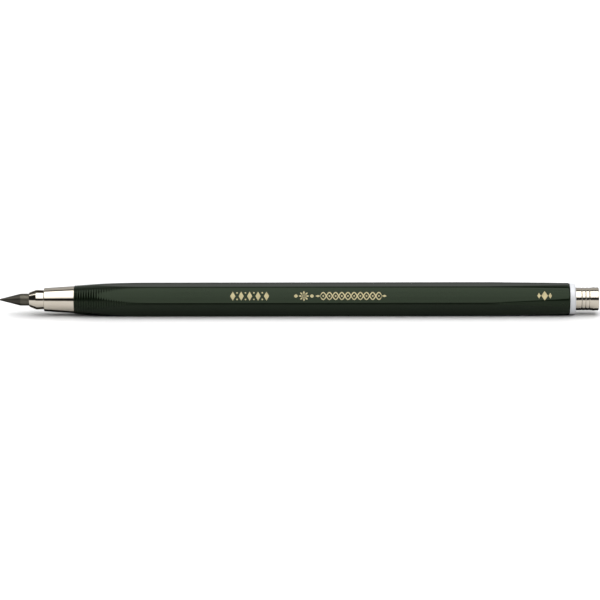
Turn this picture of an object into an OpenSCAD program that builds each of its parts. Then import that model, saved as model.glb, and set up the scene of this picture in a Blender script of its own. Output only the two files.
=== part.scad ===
// Lead holder with a three-jaw clutch: hexagonal barrel, turned nose and a push button at the rear.
// It lies on one flat of the barrel. +X runs from the lead's point to the push button, +Z is up, and
// the origin is on the resting surface, below the middle of the whole length.
// Every part is drawn on its own axis first, with s = 0 at the barrel's front face and s growing
// towards the button, and is then laid down along X.

/* [Lead] */
// Diameter of the lead
lead_d = 3.15; // [2:0.05:3.8]
// Length of a whole stick of lead
lead_len = 130; // [60:1:134]
// How far the lead stands out of the jaws
lead_out = 8.1; // [4:0.1:16]
// Length of the sharpened cone
lead_cone_len = 5.87; // [2:0.01:9]
// Diameter of the blunt end of the point
lead_tip_d = 0.14; // [0.05:0.01:1]

/* [Barrel] */
// Length of the barrel
barrel_len = 128.6; // [104:0.1:160]
// Width of the hexagon across its flats
hex_af = 8.1; // [7.8:0.1:12]
// Radius of the hexagon's rounded edges
corner_r = 0.6; // [0.2:0.05:1.2]
// How far the turned front reaches before the hexagon is whole
grip_run = 24; // [16:0.5:40]
// How far the rear is turned down to meet the end ring
tail_run = 28.6; // [10:0.1:40]
// Radius of the barrel's rear edge
tail_round = 0.45; // [0.1:0.05:0.6]

/* [Grip grooves] */
// Number of grooves
groove_count = 31; // [5:1:34]
// Distance from one groove to the next
groove_pitch = 0.66; // [0.6:0.01:0.68]
// Width of a groove at its mouth
groove_w = 0.44; // [0.2:0.01:0.55]
// Depth of a groove
groove_depth = 0.14; // [0.05:0.01:0.2]

/* [Nose] */
// Length of the nose in front of the barrel
nose_len = 7.95; // [6:0.05:14]
// Wall of the nose at its mouth
nose_wall = 0.47; // [0.4:0.01:1]
// Radius of the nose's front edge
nose_edge_r = 0.35; // [0.1:0.05:0.39]
// Shoulder by which the nose covers the barrel's front bore
nose_shoulder = 0.48; // [0.3:0.01:1]
// Length of the spigot that screws into the barrel
spigot_len = 9; // [6:0.5:14]
// Wall of the spigot
spigot_wall = 0.45; // [0.3:0.01:0.8]
// Lip of the barrel outside the nose
barrel_lip = 0.15; // [0.1:0.01:0.5]

/* [Clutch] */
// How far the jaws stand out of the nose
jaw_out = 3.85; // [2.5:0.05:6]
// Length of the cone on the front of the jaws
jaw_front_cone = 1.9; // [1:0.05:2.2]
// Wall of the jaws at their front face
jaw_tip_wall = 0.28; // [0.2:0.01:0.6]
// Wall of the jaws at their widest
jaw_head_wall = 1.01; // [0.9:0.01:1.5]
// Wall of the springy shanks behind the jaws
jaw_shank_wall = 0.39; // [0.3:0.01:0.6]
// Width of the saw cuts between the jaws
slot_w = 0.85; // [0.3:0.05:1]
// Turn of the first jaw about the axis, 0 being downwards
jaw_turn = 258.5; // [0:0.5:360]
// Length of the cone that closes the jaws
seat_len = 2.5; // [1.5:0.1:4]
// Radius lost for each millimetre along the closing cone
seat_slope = 0.12; // [0.08:0.01:0.2]
// Depth of the saw cuts behind the barrel's front face
slot_root = 7; // [3:0.5:9]
// Length of the collet's solid rear ring
collet_ring_len = 7; // [4:0.5:12]
// Number of gripping teeth inside the jaws
tooth_count = 10; // [3:1:12]
// Distance from one gripping tooth to the next
tooth_pitch = 0.6; // [0.4:0.05:0.65]
// Depth of the gripping teeth
tooth_depth = 0.12; // [0.05:0.01:0.2]

/* [Tube and spring] */
// Wall of the lead tube
tube_wall = 0.4; // [0.2:0.05:0.5]
// How far the lead tube reaches past the end ring
tube_out = 3.7; // [2:0.1:4.5]
// Thickness of the spring's wire
wire_d = 0.44; // [0.2:0.01:0.5]
// Length of the spring as fitted
spring_len = 16; // [12:0.5:30]
// Turns of the spring
spring_turns = 12; // [6:1:16]
// Length of the collar that the spring pushes on
collar_len = 2; // [1:0.1:5]

/* [End ring] */
// Diameter of the end ring
ring_d = 8.15; // [7.8:0.05:8.2]
// Length of the end ring behind the barrel
ring_len = 1.5; // [1:0.05:3]
// Radius of the end ring's rear edge
ring_edge_r = 0.9; // [0.2:0.05:0.9]
// Wall of the ring's spigot
ring_spigot_wall = 0.57; // [0.4:0.01:0.6]
// Length of the ring's spigot inside the barrel
ring_spigot_len = 4.6; // [2:0.1:5]

/* [Push button] */
// How far the button stands out of the end ring, up to its rounded edge
button_out = 6.05; // [5.5:0.05:10]
// Wall of the button round the lead tube
button_wall = 0.53; // [0.4:0.01:0.55]
// Height of the button's domed end
button_dome = 0.2; // [0.05:0.05:0.6]
// How far the button's skirt reaches inside the end ring
skirt_len = 3.1; // [1:0.1:6]
// Number of grooves round the button
button_grooves = 3; // [1:1:3]
// Distance from one button groove to the next
button_pitch = 1; // [0.6:0.05:1]
// Stroke of the push button
push_stroke = 4; // [2:0.1:4.2]

/* [Fits] */
// Radial clearance of parts that slide on each other
running_gap = 0.08; // [0.03:0.01:0.1]
// Radial clearance of parts that are pressed or screwed together
fixed_gap = 0.02; // [0.01:0.01:0.05]
// Radial clearance between the closed jaws and the lead
grip_gap = 0.015; // [0.01:0.005:0.03]
// Radial clearance between the closed jaws and their seat
seat_gap = 0.05; // [0.02:0.01:0.08]
// Radial room round the spring, inside and outside
spring_room = 0.12; // [0.05:0.01:0.2]

/* [Hidden] */
$fn = 96;

green = [0.10, 0.15, 0.11];
nickel = [0.80, 0.78, 0.74];
brass = [0.78, 0.64, 0.36];
graphite = [0.25, 0.25, 0.25];
satin = [0.86, 0.87, 0.88];
steel = [0.66, 0.67, 0.70];

// Clutch, from the lead outwards
lead_r = lead_d / 2;
jaw_bore_r = lead_r + grip_gap;
shank_bore_r = lead_r + running_gap;
shank_r = jaw_bore_r + jaw_shank_wall;
tube_r = shank_r + fixed_gap;
tube_outer_r = tube_r + tube_wall;
jaw_tip_r = jaw_bore_r + jaw_tip_wall;
jaw_head_r = jaw_bore_r + jaw_head_wall;
jaw_front = -nose_len - jaw_out;
jaw_clearance = 0.22;
seat_small_r = shank_r + jaw_clearance + seat_gap;
seat_mouth_r = seat_small_r + seat_slope * seat_len;
seat_end = seat_len - nose_len;
tooth_start = 0.5;

// Spring, spigot and nose, from the tube outwards
spring_r = tube_outer_r + spring_room + wire_d / 2;
spring_outer_r = spring_r + wire_d / 2;
spring_end = spigot_len + spring_len;
collar_end = spring_end + collar_len;
front_bore_r = spring_outer_r + spring_room;
spigot_r = front_bore_r - fixed_gap;
spigot_bore_r = spigot_r - spigot_wall;
nose_front_r = seat_mouth_r + nose_wall;
nose_rear_r = spigot_r + nose_shoulder;
relief_len = 1;

// Push button and end ring, from the tube outwards
button_bore_r = tube_outer_r + fixed_gap;
button_r = button_bore_r + button_wall;
button_flare = 0.1;
button_groove_w = 0.3;
button_groove_depth = 0.12;
button_first_groove = 1.6;
button_edge_r = 0.35;
ring_bore_r = button_r + running_gap;
ring_r = ring_d / 2;
ring_spigot_r = ring_bore_r + ring_spigot_wall;
ring_face = 0.1;
ring_rounding = min(ring_edge_r, ring_r - ring_bore_r - ring_face);
ring_end = barrel_len + ring_len;
tube_end = ring_end + tube_out;
button_front = ring_end - skirt_len;
button_end = ring_end + button_out;
button_floor_gap = 0.1;

// Barrel
rear_bore_r = ring_spigot_r + fixed_gap;
rear_bore_start = min(button_front - push_stroke - 1, barrel_len - ring_spigot_len - fixed_gap);
main_bore_r = tube_outer_r + 0.2;
front_bore_len = collar_end + 5;
barrel_front_r = nose_rear_r + barrel_lip;
flat_r = hex_af / 2;
corner_centre = (flat_r - corner_r) / cos(30);
over_r = corner_centre + corner_r + 0.08;
tail_r = max(ring_r + 0.075, rear_bore_r + 0.5);
front_chamfer = 0.1;
corner_steps = 6;
arc_steps = 5;

// The whole object: its length, its middle and the height of its axis
lead_tip = jaw_front - lead_out;
object_end = button_end + button_dome;
middle = (lead_tip + object_end) / 2;
eps = 0.01;

// Lays a part that was drawn along its own axis down along X, on one flat of the hexagon
module lay() {
    translate([-middle, 0, flat_r])
        rotate([0, 90, 0])
            children();
}

// Turns an outline of [radius, s] points about the axis
module turned(outline) {
    rotate_extrude()
        polygon(outline);
}

// Points of a round edge about [centre_r, centre_s], from one angle to another
function arc(centre_r, centre_s, r, from, to, steps = arc_steps) = [
    for (i = [0:steps])
        let (a = from + (to - from) * i / steps)
            [centre_r + r * cos(a), centre_s + r * sin(a)]
];

// ---- Barrel ----

// Radius of the turned front: it swells quickly at first and then eases out past the edges
function grip_r(s) = over_r - (over_r - barrel_front_r) * pow(1 - s / grip_run, 2);

function groove_start(i) = front_chamfer + 0.2 + i * groove_pitch;

// A V groove: its two mouth points on the turned surface, and its bottom
function groove(i) =
    let (a = groove_start(i), m = a + groove_w / 2, b = a + groove_w)
        [[grip_r(a), a], [grip_r(m) - groove_depth, m], [grip_r(b), b]];

module turned_blank() {
    grooves = [for (i = [0:groove_count - 1]) each groove(i)];
    run_out = [for (k = [1:3]) let (s = groove_start(groove_count) + k) if (s < grip_run) [grip_r(s), s]];
    turned(concat(
        [[0, 0], [barrel_front_r - front_chamfer, 0], [grip_r(front_chamfer), front_chamfer]],
        grooves,
        run_out,
        [[over_r, grip_run], [over_r, barrel_len - tail_run]],
        arc(tail_r - tail_round, barrel_len - tail_round, tail_round, 0, 90),
        [[0, barrel_len]]
    ));
}

// The hexagon with round edges, its flats facing up and down once it is laid
module hexagon() {
    polygon([
        for (k = [0:5], i = [0:corner_steps])
            let (side = 30 + 60 * k, a = side - 30 + 60 * i / corner_steps)
                [
                    corner_centre * cos(side) + corner_r * cos(a),
                    corner_centre * sin(side) + corner_r * sin(a)
                ]
    ]);
}

module barrel_bores() {
    turned([
        [0, -1],
        [front_bore_r, -1],
        [front_bore_r, front_bore_len],
        [main_bore_r, front_bore_len + front_bore_r - main_bore_r],
        [main_bore_r, rear_bore_start],
        [rear_bore_r, rear_bore_start],
        [rear_bore_r, barrel_len + 1],
        [0, barrel_len + 1]
    ]);
}

module barrel() {
    color(green)
        lay()
            difference() {
                intersection() {
                    linear_extrude(barrel_len)
                        hexagon();
                    turned_blank();
                }
                barrel_bores();
            }
}

// ---- Nose ----

// Radius of the cone that closes the jaws
function seat_r(s) = seat_small_r + seat_slope * (seat_end - s);

module nose_ferrule() {
    color(nickel)
        lay()
            turned(concat(
                [[seat_r(-nose_len), -nose_len]],
                arc(nose_front_r - nose_edge_r, nose_edge_r - nose_len, nose_edge_r, -90, 0),
                [
                    [nose_rear_r, -0.1],
                    [nose_rear_r - 0.1, 0],
                    [spigot_r, 0],
                    [spigot_r, spigot_len - 0.3],
                    [spigot_r - 0.2, spigot_len],
                    [spigot_bore_r, spigot_len],
                    [spigot_bore_r, seat_end + relief_len],
                    [seat_small_r, seat_end]
                ]
            ));
}

// ---- Clutch ----

// Grooves inside the jaws leave teeth that bite on the lead
function tooth(i) =
    let (s = seat_end - tooth_start - i * tooth_pitch)
        [[jaw_bore_r, s], [jaw_bore_r + tooth_depth, s - tooth_pitch / 4], [jaw_bore_r, s - tooth_pitch / 2]];

// The whole collet before it is sawn: head, closing cone and springy shank
module collet_blank() {
    teeth = [for (i = [0:tooth_count - 1]) if (tooth(i)[2][1] > jaw_front + 0.3) each tooth(i)];
    turned(concat(
        [
            [jaw_bore_r + 0.1, jaw_front],
            [jaw_tip_r, jaw_front],
            [jaw_head_r - 0.06, jaw_front + jaw_front_cone - 0.12],
            [jaw_head_r, jaw_front + jaw_front_cone + 0.1],
            [seat_r(-nose_len) - seat_gap + 0.01, -nose_len - 0.1],
            [seat_r(-nose_len) - seat_gap, -nose_len],
            [seat_r(seat_end) - seat_gap, seat_end],
            [shank_r, seat_end + 0.2],
            [shank_r, slot_root],
            [shank_bore_r, slot_root],
            [shank_bore_r, seat_end],
            [jaw_bore_r, seat_end - 0.1]
        ],
        teeth,
        [[jaw_bore_r, jaw_front + 0.1]]
    ));
}

// One third of the collet, between two saw cuts
module jaw(i) {
    reach = 3 * jaw_head_r;
    apex = slot_w / 2 / sin(60);
    color(brass)
        lay()
            intersection() {
                collet_blank();
                rotate(jaw_turn + 120 * i)
                    translate([apex, 0, jaw_front - 1])
                        linear_extrude(slot_root - jaw_front + 2)
                            polygon([
                                [0, 0],
                                [reach * cos(60), -reach * sin(60)],
                                [reach, 0],
                                [reach * cos(60), reach * sin(60)]
                            ]);
            }
}

module jaw_1() {
    jaw(0);
}

module jaw_2() {
    jaw(1);
}

module jaw_3() {
    jaw(2);
}

// Rear of the collet, pressed into the lead tube
module collet_ring() {
    color(brass)
        lay()
            turned([
                [shank_bore_r, slot_root],
                [shank_r, slot_root],
                [shank_r, slot_root + collet_ring_len],
                [shank_bore_r + 0.1, slot_root + collet_ring_len],
                [shank_bore_r, slot_root + collet_ring_len - 0.3]
            ]);
}

module lead_tube() {
    color(steel)
        lay()
            turned([
                [tube_r, spigot_len],
                [tube_outer_r, spigot_len],
                [tube_outer_r, tube_end],
                [tube_r, tube_end]
            ]);
}

module spring_collar() {
    color(steel)
        lay()
            turned([
                [tube_outer_r + eps, spring_end],
                [spring_outer_r - 0.1, spring_end],
                [spring_outer_r, spring_end + 0.1],
                [spring_outer_r, collar_end - 0.1],
                [spring_outer_r - 0.1, collar_end],
                [tube_outer_r + eps, collar_end]
            ]);
}

// ---- Spring ----

spring_steps = 18;
wire_sides = 8;

// Height of the wire's middle after a number of turns: the end turns lie flat, the rest are spread evenly
function wire_s(turns) =
    let (
        low = spigot_len + wire_d / 2 + eps,
        high = spring_end - wire_d / 2 - eps,
        closed = wire_d * 1.05,
        spread = (high - low - 2 * closed) / (spring_turns - 2)
    )
    turns < 1 ? low + closed * turns
    : turns > spring_turns - 1 ? high - closed * (spring_turns - turns)
    : low + closed + spread * (turns - 1);

module clutch_spring() {
    rings = spring_turns * spring_steps;
    points = [
        for (i = [0:rings], j = [0:wire_sides - 1])
            let (a = 360 * i / spring_steps, b = 360 * j / wire_sides, r = spring_r + wire_d / 2 * cos(b))
                [r * cos(a), r * sin(a), wire_s(i / spring_steps) + wire_d / 2 * sin(b)]
    ];
    sides = [
        for (i = [0:rings - 1], j = [0:wire_sides - 1], half = [0, 1])
            let (
                k = (j + 1) % wire_sides,
                a = i * wire_sides + j,
                b = i * wire_sides + k,
                c = (i + 1) * wire_sides + k,
                d = (i + 1) * wire_sides + j
            )
            half == 0 ? [a, b, c] : [a, c, d]
    ];
    first = [for (j = [wire_sides - 1:-1:0]) j];
    last = [for (j = [0:wire_sides - 1]) rings * wire_sides + j];
    color(steel)
        lay()
            polyhedron(points, concat(sides, [first], [last]));
}

// ---- Lead ----

module lead() {
    color(graphite)
        lay()
            turned([
                [0, lead_tip],
                [lead_tip_d / 2, lead_tip],
                [lead_r, lead_tip + lead_cone_len],
                [lead_r, lead_tip + lead_len],
                [0, lead_tip + lead_len]
            ]);
}

// ---- Rear ----

module end_ring() {
    color(satin)
        lay()
            turned(concat(
                [
                    [ring_bore_r, barrel_len - ring_spigot_len],
                    [ring_spigot_r, barrel_len - ring_spigot_len],
                    [ring_spigot_r, barrel_len],
                    [ring_r, barrel_len]
                ],
                arc(ring_r - ring_rounding, ring_end - ring_rounding, ring_rounding, 0, 90, 2 * arc_steps),
                [[ring_bore_r, ring_end]]
            ));
}

// A shallow groove round the button
function button_groove(i) =
    let (s = ring_end + button_first_groove + i * button_pitch, half = button_groove_w / 2)
        [[button_r, s - half], [button_r - button_groove_depth, s], [button_r, s + half]];

module push_button() {
    flare_s = ring_end + button_first_groove + button_grooves * button_pitch;
    crown_r = button_r - button_flare / 2;
    color(nickel)
        lay()
            turned(concat(
                [
                    [button_bore_r, button_front],
                    [button_r - 0.1, button_front],
                    [button_r, button_front + 0.1]
                ],
                [for (i = [0:button_grooves - 1]) each button_groove(i)],
                [
                    [button_r, flare_s - 0.4],
                    [button_r + button_flare, flare_s],
                    [button_r + button_flare, flare_s + 0.25]
                ],
                arc(crown_r - button_edge_r, button_end - button_edge_r, button_edge_r, 0, 90),
                [
                    [0, object_end],
                    [0, tube_end + button_floor_gap],
                    [button_bore_r, tube_end + button_floor_gap]
                ]
            ));
}

barrel();
nose_ferrule();
jaw_1();
jaw_2();
jaw_3();
collet_ring();
lead_tube();
spring_collar();
clutch_spring();
lead();
end_ring();
push_button();
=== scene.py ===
"""A clutch lead holder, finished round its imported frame.

Every surface is worked out with numpy on a grid, in millimetres along the holder's own axis: s is the
distance behind the barrel's front face, r the distance from the axis and a the angle about it.
"""

import logging
import math
from dataclasses import dataclass
from enum import Enum
from typing import Callable, Sequence

import bmesh
import bpy
import numpy as np
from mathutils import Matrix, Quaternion, Vector


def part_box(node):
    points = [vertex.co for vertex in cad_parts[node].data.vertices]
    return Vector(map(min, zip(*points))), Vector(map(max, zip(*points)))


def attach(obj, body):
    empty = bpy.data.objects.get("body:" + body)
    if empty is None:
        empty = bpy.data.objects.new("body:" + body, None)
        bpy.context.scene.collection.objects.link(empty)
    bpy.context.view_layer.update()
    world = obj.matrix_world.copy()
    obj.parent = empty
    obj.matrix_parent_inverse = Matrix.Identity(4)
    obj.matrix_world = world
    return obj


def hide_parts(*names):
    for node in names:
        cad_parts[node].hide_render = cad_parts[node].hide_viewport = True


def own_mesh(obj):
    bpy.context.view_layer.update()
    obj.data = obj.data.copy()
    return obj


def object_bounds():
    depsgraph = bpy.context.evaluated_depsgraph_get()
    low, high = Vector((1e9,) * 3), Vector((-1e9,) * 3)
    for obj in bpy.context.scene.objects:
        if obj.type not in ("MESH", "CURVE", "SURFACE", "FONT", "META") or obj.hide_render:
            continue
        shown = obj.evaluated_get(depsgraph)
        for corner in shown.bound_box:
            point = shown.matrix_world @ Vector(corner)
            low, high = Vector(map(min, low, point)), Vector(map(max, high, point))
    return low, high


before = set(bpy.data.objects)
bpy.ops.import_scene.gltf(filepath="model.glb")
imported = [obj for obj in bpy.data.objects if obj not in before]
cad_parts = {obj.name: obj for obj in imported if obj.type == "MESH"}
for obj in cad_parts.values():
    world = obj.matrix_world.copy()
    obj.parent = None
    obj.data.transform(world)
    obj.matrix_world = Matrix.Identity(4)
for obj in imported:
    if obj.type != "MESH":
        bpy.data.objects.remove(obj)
cad_low, cad_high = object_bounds()

log = logging.getLogger("lead_holder")

MM = 0.001
FULL_TURN = 2 * math.pi

MERGE = 0.0004  # Points closer than this become one, in millimetres.
GUARD = 0.03  # Distance from an arc of the extra point on the straight side beside it, in millimetres.
ARC_SHARE = 0.49  # The most of a side that one rounded corner takes.
STRAIGHT = 1e-4  # A corner isn't rounded if half its turn is less than this many radians.
EDGE = "edge"  # The attribute that marks painted shade on the barrel's edges and groove floors, and the lead's freshly cut cone.

Array = np.ndarray
Piece = bpy.types.Object
Node = bpy.types.Node
Socket = bpy.types.NodeSocket
Colour = tuple[float, float, float, float]


# ---------------------------------------------------------------- places


class Axis:
    """The holder's axis, read from the frame: where its stations lie and how it lies in space."""

    def __init__(self) -> None:
        """Reads the barrel's box, whose front face is station 0."""
        low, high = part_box("barrel")
        self.front_x: float = low.x
        self.height: float = (low.z + high.z) / 2

    def span(self, node: str) -> tuple[float, float]:
        """Returns a node's front and rear stations in millimetres."""
        low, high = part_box(node)
        return (low.x - self.front_x) / MM, (high.x - self.front_x) / MM

    def radius(self, node: str) -> float:
        """Returns half the height of a node's box in millimetres, which is a round node's radius."""
        low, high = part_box(node)
        return (high.z - low.z) / 2 / MM

    def place(self, s: Array, r: Array, a: Array) -> Array:
        """Turns stations, radii and angles into points in space.

        The angle is 0 towards the front (-Y) and 90 degrees upwards (+Z).

        Args:
            s: Stations in millimetres.
            r: Radii in millimetres.
            a: Angles in radians.

        Returns:
            An array of points in metres, with the inputs' broadcast shape and a last axis of 3.
        """
        s, r, a = np.broadcast_arrays(s, r, a)
        x = self.front_x + s * MM
        y = -r * np.cos(a) * MM
        z = self.height + r * np.sin(a) * MM
        return np.stack([x, y, z], axis=-1)


AXIS = Axis()


# ---------------------------------------------------------------- surfaces


@dataclass
class Grid:
    """A surface as rows and columns of points.

    Attributes:
        points: Rows by columns by 3, in metres.
        wrap_rows: Whether the last row joins the first.
        wrap_columns: Whether the last column joins the first.
    """

    points: Array
    wrap_rows: bool = False
    wrap_columns: bool = True

    def quads(self, start: int) -> Array:
        """Numbers the corners of every cell.

        Args:
            start: The number of the grid's first point.

        Returns:
            An array of cells by 4 point numbers.
        """
        rows, columns = self.points.shape[:2]
        i = np.arange(rows if self.wrap_rows else rows - 1)[:, None]
        j = np.arange(columns if self.wrap_columns else columns - 1)[None, :]
        below, beside = (i + 1) % rows, (j + 1) % columns
        corners = (i * columns + j, i * columns + beside, below * columns + beside, below * columns + j)
        return np.stack(np.broadcast_arrays(*corners), axis=-1).reshape(-1, 4) + start


def build(name: str, grids: Sequence[Grid], sharp: float = 38.0) -> Piece:
    """Puts grids into one closed mesh object at the origin.

    Args:
        name: The piece's name.
        grids: The surfaces, which meet at shared points.
        sharp: Edges that turn more than this many degrees stay crisp.

    Returns:
        The new object, linked to the scene.
    """
    starts = np.cumsum([0] + [g.points.shape[0] * g.points.shape[1] for g in grids])
    points = np.concatenate([g.points.reshape(-1, 3) for g in grids])
    quads = np.concatenate([g.quads(int(n)) for g, n in zip(grids, starts)])
    mesh = bpy.data.meshes.new(name)
    mesh.from_pydata(points.tolist(), [], quads.tolist())
    work = bmesh.new()
    work.from_mesh(mesh)
    bmesh.ops.remove_doubles(work, verts=work.verts, dist=MERGE * MM)
    bmesh.ops.recalc_face_normals(work, faces=work.faces)
    work.to_mesh(mesh)
    work.free()
    mesh.polygons.foreach_set("use_smooth", np.ones(len(mesh.polygons), bool))
    mesh.set_sharp_from_angle(angle=math.radians(sharp))
    piece = bpy.data.objects.new(name, mesh)
    bpy.context.scene.collection.objects.link(piece)
    return piece


def coordinates(piece: Piece) -> Array:
    """Reads a piece's points.

    Args:
        piece: The piece.

    Returns:
        Its points in metres, one row each.
    """
    flat = np.empty(len(piece.data.vertices) * 3, np.float32)
    piece.data.vertices.foreach_get("co", flat)
    return flat.reshape(-1, 3).astype(float)


def mark(piece: Piece, values: Array) -> None:
    """Stores one number from 0 to 1 for every point of a piece as its edge attribute."""
    layer = piece.data.attributes.new(EDGE, "FLOAT", "POINT")
    layer.data.foreach_set("value", np.clip(values, 0, 1).astype(np.float32))


@dataclass(frozen=True)
class Corner:
    """A corner of an outline: its station, its radius from the axis, and the radius that rounds it."""

    s: float
    r: float
    rounding: float = 0.0


def outline(corners: Sequence[Corner], steps: int = 6, closed: bool = True) -> Array:
    """Rounds an outline's corners with arcs.

    Each rounded corner becomes an arc that touches both of its sides. Beside every arc the straight side
    gets one more point, so that the side stays flat where it is shaded smoothly.

    Args:
        corners: The outline's corners in order.
        steps: Segments in each arc.
        closed: Whether the last corner joins the first.

    Returns:
        Points as rows of station and radius.
    """
    spots = np.array([[c.s, c.r] for c in corners], float)
    out: list[Array] = []
    count = len(corners)
    for k, corner in enumerate(corners):
        here = spots[k]
        if not closed and k in (0, count - 1):
            out.append(here[None])
            continue
        back, ahead = spots[k - 1] - here, spots[(k + 1) % count] - here
        back_len, ahead_len = np.linalg.norm(back), np.linalg.norm(ahead)
        back, ahead = back / back_len, ahead / ahead_len
        half = math.acos(float(np.clip(back @ ahead, -1, 1))) / 2
        if corner.rounding <= 0 or abs(half - math.pi / 2) < STRAIGHT:
            before, beyond = back * min(GUARD, back_len / 3), ahead * min(GUARD, ahead_len / 3)
            out.append(np.stack([here + before, here, here + beyond]))
            continue
        setback = min(corner.rounding / math.tan(half), back_len * ARC_SHARE, ahead_len * ARC_SHARE)
        radius = setback * math.tan(half)
        middle = here + (back + ahead) / np.linalg.norm(back + ahead) * math.hypot(radius, setback)
        first, last = here + back * setback - middle, here + ahead * setback - middle
        turn = math.pi - 2 * half
        t = np.linspace(0, 1, steps + 1)[:, None]
        arc = middle + (first * np.sin((1 - t) * turn) + last * np.sin(t * turn)) / math.sin(turn)
        out.append((here + back * min(setback + GUARD, back_len * 0.5))[None])
        out.append(arc)
        out.append((here + ahead * min(setback + GUARD, ahead_len * 0.5))[None])
    return np.concatenate(out)


def lathe(profile: Array, columns: int = 128, hollow: bool = True) -> Grid:
    """Turns a profile of stations and radii about the axis.

    Args:
        profile: Rows of station and radius.
        columns: Steps round the axis.
        hollow: Whether the profile is a closed loop. If not, both its ends lie on the axis.

    Returns:
        The closed surface.
    """
    a = np.linspace(0, FULL_TURN, columns, endpoint=False)[None, :]
    return Grid(AXIS.place(profile[:, :1], np.maximum(profile[:, 1:], 0), a), wrap_rows=hollow)


# ---------------------------------------------------------------- shader parts


class Nodes:
    """A short way to fill a node tree."""

    def __init__(self, tree: bpy.types.NodeTree) -> None:
        """Empties the tree that is to be filled."""
        self.tree = tree
        tree.nodes.clear()

    def add(self, kind: str, settings: dict | None = None, **inputs: object) -> Node:
        """Adds a node.

        Args:
            kind: The node's type, without its ShaderNode prefix.
            settings: The node's own properties.
            **inputs: Input sockets by name, with _ for a space: a socket links, anything else is its value.

        Returns:
            The new node.
        """
        node = self.tree.nodes.new(kind if kind.startswith("NodeGroup") else "ShaderNode" + kind)
        for key, value in (settings or {}).items():
            setattr(node, key, value)
        for key, value in inputs.items():
            self.feed(node, key.replace("_", " "), value)
        return node

    def feed(self, node: Node, socket: str | int, value: object) -> None:
        """Links a socket to an input, or sets the input's value.

        Args:
            node: The node with the input.
            socket: The input's name or number.
            value: An output socket, a number or a colour.
        """
        target = node.inputs[socket]
        if isinstance(value, Socket):
            self.tree.links.new(value, target)
        else:
            target.default_value = value

    def math(self, operation: str, *values: object, clamp: bool = False) -> Socket:
        """Adds a Math node and returns its result.

        Args:
            operation: Blender's name for the operation.
            *values: Sockets or numbers.
            clamp: Whether the result stays from 0 to 1.

        Returns:
            The output socket.
        """
        node = self.add("Math", {"operation": operation, "use_clamp": clamp})
        for k, value in enumerate(values):
            self.feed(node, k, value)
        return node.outputs[0]

    def spread(self, value: Socket, low: float, high: float, start: float = 0.0, end: float = 1.0) -> Socket:
        """Maps low to high onto start to end, held within them, and returns the result."""
        node = self.add("MapRange", Value=value, From_Min=low, From_Max=high, To_Min=start, To_Max=end)
        return node.outputs["Result"]

    def mix(self, amount: object, first: object, second: object) -> Socket:
        """Mixes two colours.

        Args:
            amount: Share of the second, from 0 to 1.
            first: The first colour.
            second: The second colour.

        Returns:
            The mixed colour.
        """
        node = self.add("Mix", {"data_type": "RGBA"})
        self.feed(node, 0, amount)
        self.feed(node, 6, first)
        self.feed(node, 7, second)
        return node.outputs[2]

    def place(self) -> Socket:
        """Returns the piece's own coordinates, in metres."""
        return self.add("TexCoord").outputs["Object"]

    def edge(self) -> Socket:
        """Returns the piece's edge attribute."""
        return self.add("Attribute", {"attribute_name": EDGE}).outputs["Fac"]

    def noise(self, place: Socket, scale: object, detail: float, **others: float) -> Socket:
        """Adds a noise texture, read at a place, and returns its value."""
        return self.add("TexNoise", {}, Vector=place, Scale=scale, Detail=detail, **others).outputs[0]


class Effect(Enum):
    """Surface effects that several finishes share, each one a node group."""

    TURNING = "turning_marks"
    SCRATCHES = "fine_scratches"
    HANDLING = "handling_film"
    # Painted shade on edges and groove floors.
    EDGE_SHADE = "painted_edge_shade"


def open_group(effect: Effect, inputs: dict[str, float], output: str) -> tuple[Nodes, Node, Node]:
    """Starts a node group with named inputs and one output.

    Args:
        effect: The effect that the group makes.
        inputs: Input names with their default values.
        output: The output's name.

    Returns:
        The group's nodes, its input node and its output node.
    """
    tree = bpy.data.node_groups.new(effect.value, "ShaderNodeTree")
    for name, value in inputs.items():
        socket = tree.interface.new_socket(name, in_out="INPUT", socket_type="NodeSocketFloat")
        socket.default_value = value
    tree.interface.new_socket(output, in_out="OUTPUT", socket_type="NodeSocketFloat")
    nodes = Nodes(tree)
    return nodes, nodes.add("NodeGroupInput"), nodes.add("NodeGroupOutput")


def turning_marks() -> None:
    """Builds the fine rings that a lathe tool leaves: noise that changes along the axis only."""
    nodes, given, result = open_group(Effect.TURNING, {"Rings per Metre": 9000.0, "Fading": 0.5}, "Height")
    place = nodes.place()
    along = nodes.add("SeparateXYZ", Vector=place).outputs["X"]
    count = nodes.math("MULTIPLY", along, given.outputs[0])
    rings = nodes.add("TexNoise", {"noise_dimensions": "1D"}, W=count, Scale=1.0, Detail=3.0)
    faded = nodes.math("MULTIPLY", nodes.noise(place, 350.0, 2.0), given.outputs[1])
    nodes.feed(result, 0, nodes.math("MULTIPLY", rings.outputs[0], nodes.math("SUBTRACT", 1.0, faded)))


def fine_scratches() -> None:
    """Builds hairline scratches: stretched noise, of which only the thin middle band counts."""
    nodes, given, result = open_group(Effect.SCRATCHES, {"Density": 0.5, "Slant": 0.15}, "Mask")
    place = nodes.place()
    slant = given.outputs[1]
    angles = nodes.add("CombineXYZ", X=slant, Y=nodes.math("MULTIPLY", slant, 2.0), Z=0.0).outputs[0]
    turned = nodes.add("VectorRotate", {"rotation_type": "EULER_XYZ"}, Vector=place, Rotation=angles)
    long_way = nodes.add("Mapping", Vector=turned.outputs[0], Scale=(160.0, 5200.0, 5200.0))
    hairs = nodes.noise(long_way.outputs[0], 1.0, 2.0, Distortion=0.3)
    off_middle = nodes.math("ABSOLUTE", nodes.math("SUBTRACT", hairs, 0.5))
    thin = nodes.spread(off_middle, 0.0, 0.012, 1.0, 0.0)
    kept = nodes.spread(nodes.noise(place, 260.0, 3.0), 0.5, 0.62)
    nodes.feed(result, 0, nodes.math("MULTIPLY", nodes.math("MULTIPLY", thin, kept), given.outputs[0]))


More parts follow.
